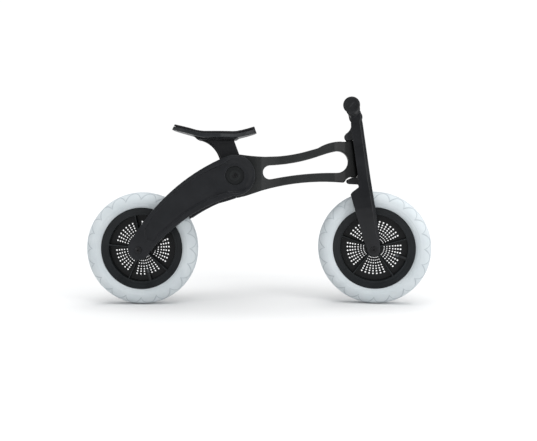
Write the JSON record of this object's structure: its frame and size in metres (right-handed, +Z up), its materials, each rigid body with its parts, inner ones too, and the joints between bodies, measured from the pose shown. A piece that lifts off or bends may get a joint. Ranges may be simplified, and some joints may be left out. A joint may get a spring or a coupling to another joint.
{
  "type": "balance bike",
  "caption": "Small child's two-wheeled push bike without pedals: open-slot frame, folding rear arms, turning fork, perforated wheels, upturned saddle.",
  "frame": {"origin": "on the ground, midway between the two wheels' contact points with the fork straight ahead, on the frame's middle plane", "axes": "+X forwards, +Y to the rider's left, +Z up; the frame, arms and seat are symmetric about the XZ plane, and the fork is stored turned 9.5 degrees to the right as in use"},
  "size_m": [0.9209, 0.3703, 0.539],
  "materials": {
    "frame_plastic": "satin",
    "bush_plastic": "smooth",
    "arm_plastic": "satin",
    "cap_plastic": "satin",
    "screw_steel": "dark plated",
    "post_plastic": "satin",
    "plate_plastic": "satin",
    "shell_plastic": "satin",
    "pad_foam": "soft foam, fine texture",
    "fork_plastic": "satin",
    "bar_aluminium": "satin anodised",
    "grip_rubber": "matte",
    "wheel_plastic": "satin",
    "tyre_rubber": "pale blue grey, matte",
    "tube_rubber": "matte",
    "valve_cap_plastic": "smooth",
    "bearing_steel": "ground"
  },
  "bodies": {
    "main_frame": {"mainframe": "frame_plastic", "head_bushes": "bush_plastic"},
    "rear_arms": {"rear_arm_right": "arm_plastic", "rear_arm_left": "arm_plastic", "arm_bridge": "arm_plastic", "bridge_pins": "screw_steel", "hub_bolt": "screw_steel", "hub_nut": "screw_steel", "hub_cap_right": "cap_plastic", "hub_cap_left": "cap_plastic", "rear_axle": "screw_steel", "rear_axle_nut": "screw_steel", "rear_spacers": "bar_aluminium"},
    "seat": {"seat_post": "post_plastic", "seat_plate": "plate_plastic", "seat_shell": "shell_plastic", "seat_pad": "pad_foam", "seat_screws": "screw_steel"},
    "steering": {"fork": "fork_plastic", "steering_pin": "screw_steel", "steering_nut": "screw_steel", "handlebar": "bar_aluminium", "bar_screw": "screw_steel", "grip_right": "grip_rubber", "grip_left": "grip_rubber", "front_axle": "screw_steel", "front_axle_nut": "screw_steel", "front_spacers": "bar_aluminium"},
    "rear_wheel": {"rear_rim": "wheel_plastic", "rear_tyre": "tyre_rubber", "rear_tube": "tube_rubber", "rear_valve": "tube_rubber", "rear_valve_cap": "valve_cap_plastic", "rear_bearings": "bearing_steel"},
    "front_wheel": {"front_rim": "wheel_plastic", "front_tyre": "tyre_rubber", "front_tube": "tube_rubber", "front_valve": "tube_rubber", "front_valve_cap": "valve_cap_plastic", "front_bearings": "bearing_steel"}
  },
  "joints": [
    {"name": "rear_arms_hub", "type": "hinge", "parent": "main_frame", "child": "rear_arms", "pos_m": [-0.059, 0, 0.344], "axis": [0, 1, 0], "range_deg": [0, 16]},
    {"name": "seat_height", "type": "slide", "parent": "main_frame", "child": "seat", "axis": [-0.342, 0, 0.9397], "range_m": [0, 0.035]},
    {"name": "steering", "type": "hinge", "parent": "main_frame", "child": "steering", "pos_m": [0.2627, 0, 0.33], "axis": [-0.1392, 0, 0.9903], "range_deg": [-35.5, 54.5]},
    {"name": "rear_wheel_spin", "type": "hinge", "parent": "rear_arms", "child": "rear_wheel", "pos_m": [-0.311, 0, 0.15], "axis": [0, 1, 0], "continuous": true},
    {"name": "front_wheel_spin", "type": "hinge", "parent": "steering", "child": "front_wheel", "pos_m": [0.31168, -0.00392, 0.14996], "axis": [0.1634, 0.9863, 0.023], "continuous": true}
  ]
}
